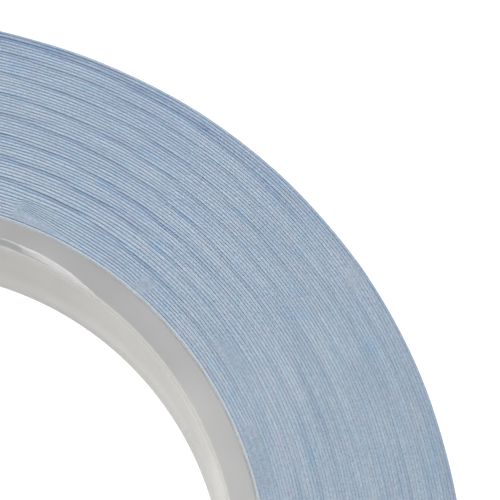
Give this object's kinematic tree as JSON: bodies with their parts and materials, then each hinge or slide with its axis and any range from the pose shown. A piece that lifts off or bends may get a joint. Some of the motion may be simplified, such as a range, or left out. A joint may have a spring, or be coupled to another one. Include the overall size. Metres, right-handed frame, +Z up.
{
  "type": "grip tape roll",
  "caption": "Reel of thin light-blue racket overgrips wound end to end on a milky plastic core ring, closed by clear tape on a free tail that lifts off.",
  "frame": {"origin": "centre of the reel's lower face, on the winding axis", "axes": "+Z up along the winding axis; +X to the right and +Y away from the viewer; the strips are wound anticlockwise outwards seen from +Z"},
  "size_m": [0.1922, 0.1919, 0.029],
  "materials": {
    "grip_fabric": "dry matt non-woven with cut edges, light blue",
    "core_plastic": "milky translucent natural plastic, satin",
    "starter_tape_film": "thin pale double-sided tape",
    "clear_tape": "clear glossy adhesive film"
  },
  "bodies": {
    "reel": {"core_ring": "core_plastic", "starter_tape": "starter_tape_film", "overgrip_01": "grip_fabric", "overgrip_02": "grip_fabric", "overgrip_03": "grip_fabric", "overgrip_04": "grip_fabric", "overgrip_05": "grip_fabric", "overgrip_06": "grip_fabric", "overgrip_07": "grip_fabric", "overgrip_08": "grip_fabric", "overgrip_09": "grip_fabric", "overgrip_10": "grip_fabric", "overgrip_11": "grip_fabric", "overgrip_12": "grip_fabric", "overgrip_13": "grip_fabric", "overgrip_14": "grip_fabric", "overgrip_15": "grip_fabric", "overgrip_16": "grip_fabric", "overgrip_17": "grip_fabric", "overgrip_18": "grip_fabric", "overgrip_19": "grip_fabric", "overgrip_20": "grip_fabric", "overgrip_21": "grip_fabric", "overgrip_22": "grip_fabric", "overgrip_23": "grip_fabric", "overgrip_24": "grip_fabric", "overgrip_25": "grip_fabric", "overgrip_26": "grip_fabric", "overgrip_27": "grip_fabric", "overgrip_28": "grip_fabric", "overgrip_29": "grip_fabric", "overgrip_30": "grip_fabric"},
    "tail": {"outer_tail": "grip_fabric", "closure_tape": "clear_tape"}
  },
  "joints": [
    {"name": "tail_peel", "type": "hinge", "parent": "reel", "child": "tail", "pos_m": [-0.0931, -0.02347, 0.0145], "axis": [0, 0, -1], "range_deg": [0, 70]}
  ]
}
